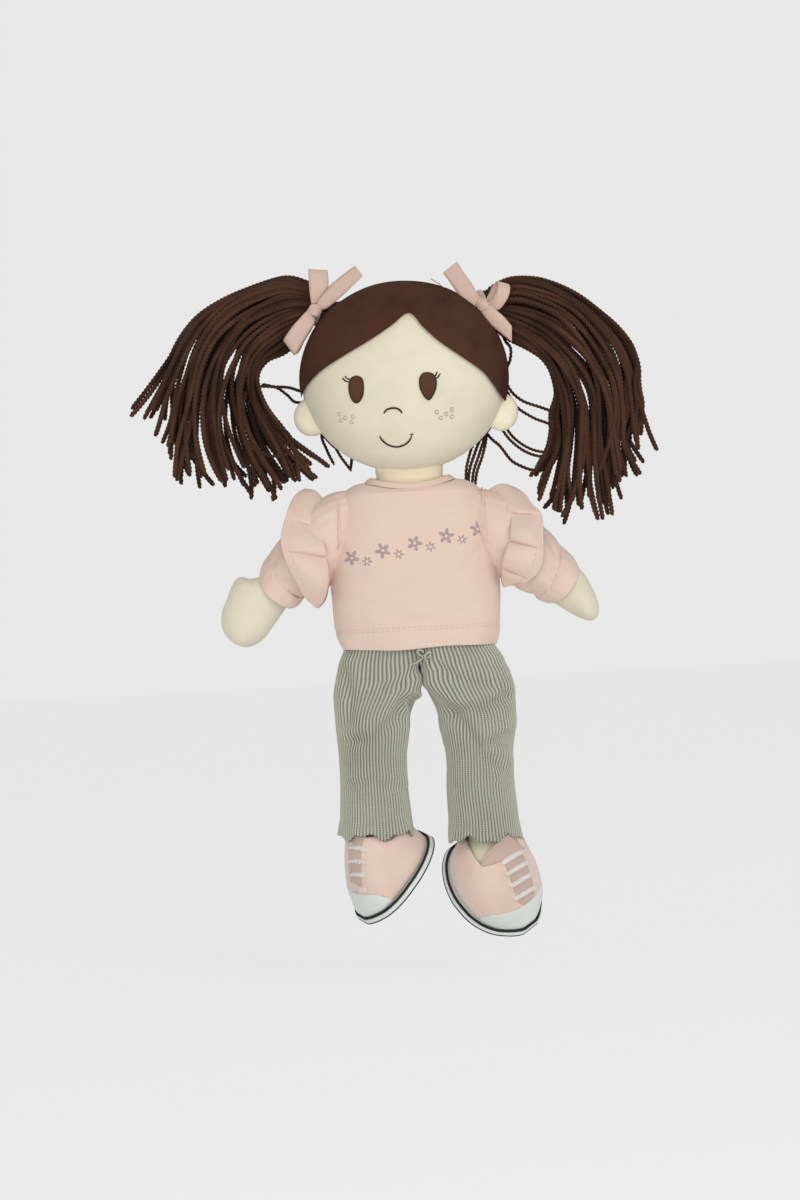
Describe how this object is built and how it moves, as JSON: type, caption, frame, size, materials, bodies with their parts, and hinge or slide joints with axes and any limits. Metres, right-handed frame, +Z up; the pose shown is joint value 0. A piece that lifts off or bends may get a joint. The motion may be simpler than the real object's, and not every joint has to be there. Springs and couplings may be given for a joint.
{
  "type": "rag doll",
  "caption": "Stuffed rag doll with yarn pigtails and ribbon bows, a frilled shirt, ribbed trousers and laced soft shoes; head, arms, legs and feet move.",
  "frame": {"origin": "inside the waist, on the doll's centre line, 4.5 mm above the shirt's hem", "axes": "+Z up through the head, the doll faces -Y, its own left side at +X"},
  "size_m": [0.2735, 0.0795, 0.3741],
  "materials": {
    "plush": "short cream plush",
    "filling": "loose white fibre filling",
    "hair_plush": "short brown plush",
    "yarn": "plied dark brown yarn",
    "thread": "satin-stitched brown thread",
    "ribbon": "fine-ribbed blush ribbon",
    "jersey": "soft pink jersey",
    "knit": "sage rib knit",
    "elastic": "white woven elastic",
    "shoe_cloth": "pink velour",
    "shoe_trim": "off-white velour",
    "sole_foam": "white padded band",
    "sole_cord": "dark covered cord"
  },
  "bodies": {
    "torso": {"torso_skin": "plush", "torso_stuffing": "filling", "shirt_body": "jersey", "shirt_collar": "jersey", "trouser_seat": "knit", "waist_elastic": "elastic", "waist_tie": "knit"},
    "neck": {"neck": "plush"},
    "head": {"head_skin": "plush", "head_stuffing": "filling", "hair_cap": "hair_plush", "nose": "thread", "mouth": "thread", "ear_right": "plush", "eye_right": "thread", "hair_gather_right": "yarn", "hair_tie_right": "ribbon", "bow_right": "ribbon", "ear_left": "plush", "eye_left": "thread", "hair_gather_left": "yarn", "hair_tie_left": "ribbon", "bow_left": "ribbon"},
    "pigtail_right": {"pigtail_right": "yarn"},
    "arm_right": {"arm_skin_right": "plush", "arm_stuffing_right": "filling", "sleeve_right": "jersey", "cuff_right": "jersey", "ruffle_right": "jersey"},
    "leg_right": {"leg_skin_right": "plush", "leg_stuffing_right": "filling", "trouser_leg_right": "knit", "trouser_hem_right": "knit"},
    "foot_right": {"foot_right": "plush", "shoe_upper_right": "shoe_cloth", "toe_cap_right": "shoe_trim", "tongue_right": "shoe_cloth", "laces_right": "shoe_trim", "sole_right": "sole_foam", "sole_piping_right": "sole_cord"},
    "pigtail_left": {"pigtail_left": "yarn"},
    "arm_left": {"arm_skin_left": "plush", "arm_stuffing_left": "filling", "sleeve_left": "jersey", "cuff_left": "jersey", "ruffle_left": "jersey"},
    "leg_left": {"leg_skin_left": "plush", "leg_stuffing_left": "filling", "trouser_leg_left": "knit", "trouser_hem_left": "knit"},
    "foot_left": {"foot_left": "plush", "shoe_upper_left": "shoe_cloth", "toe_cap_left": "shoe_trim", "tongue_left": "shoe_cloth", "laces_left": "shoe_trim", "sole_left": "sole_foam", "sole_piping_left": "sole_cord"}
  },
  "joints": [
    {"name": "head_turn", "type": "hinge", "parent": "torso", "child": "neck", "pos_m": [0, 0, 0.08], "axis": [0, 0, 1], "range_deg": [-15, 15]},
    {"name": "head_nod", "type": "hinge", "parent": "neck", "child": "head", "pos_m": [0, 0, 0.1], "axis": [1, 0, 0], "range_deg": [-8, 8]},
    {"name": "pigtail_swing_right", "type": "hinge", "parent": "head", "child": "pigtail_right", "pos_m": [-0.0495, 0.003, 0.185], "axis": [0, 1, 0], "range_deg": [0, 20]},
    {"name": "arm_swing_right", "type": "hinge", "parent": "torso", "child": "arm_right", "pos_m": [-0.0394, 0, 0.062], "axis": [-1, 0, 0], "range_deg": [-25, 55]},
    {"name": "leg_swing_right", "type": "hinge", "parent": "torso", "child": "leg_right", "pos_m": [-0.0272, 0, -0.024], "axis": [-1, 0, 0], "range_deg": [-20, 80], "deforming": ["trouser_seat"]},
    {"name": "foot_flex_right", "type": "hinge", "parent": "leg_right", "child": "foot_right", "pos_m": [-0.0262, 0, -0.1022], "axis": [-1, 0, 0], "range_deg": [-12, 12], "deforming": ["trouser_hem_right"]},
    {"name": "pigtail_swing_left", "type": "hinge", "parent": "head", "child": "pigtail_left", "pos_m": [0.0495, 0.003, 0.185], "axis": [0, -1, 0], "range_deg": [0, 20]},
    {"name": "arm_swing_left", "type": "hinge", "parent": "torso", "child": "arm_left", "pos_m": [0.0394, 0, 0.062], "axis": [-1, 0, 0], "range_deg": [-25, 55]},
    {"name": "leg_swing_left", "type": "hinge", "parent": "torso", "child": "leg_left", "pos_m": [0.0302, 0, -0.024], "axis": [-1, 0, 0], "range_deg": [-20, 80], "deforming": ["trouser_seat"]},
    {"name": "foot_flex_left", "type": "hinge", "parent": "leg_left", "child": "foot_left", "pos_m": [0.0319, 0, -0.113], "axis": [-1, 0, 0], "range_deg": [-12, 12], "deforming": ["trouser_hem_left"]}
  ]
}
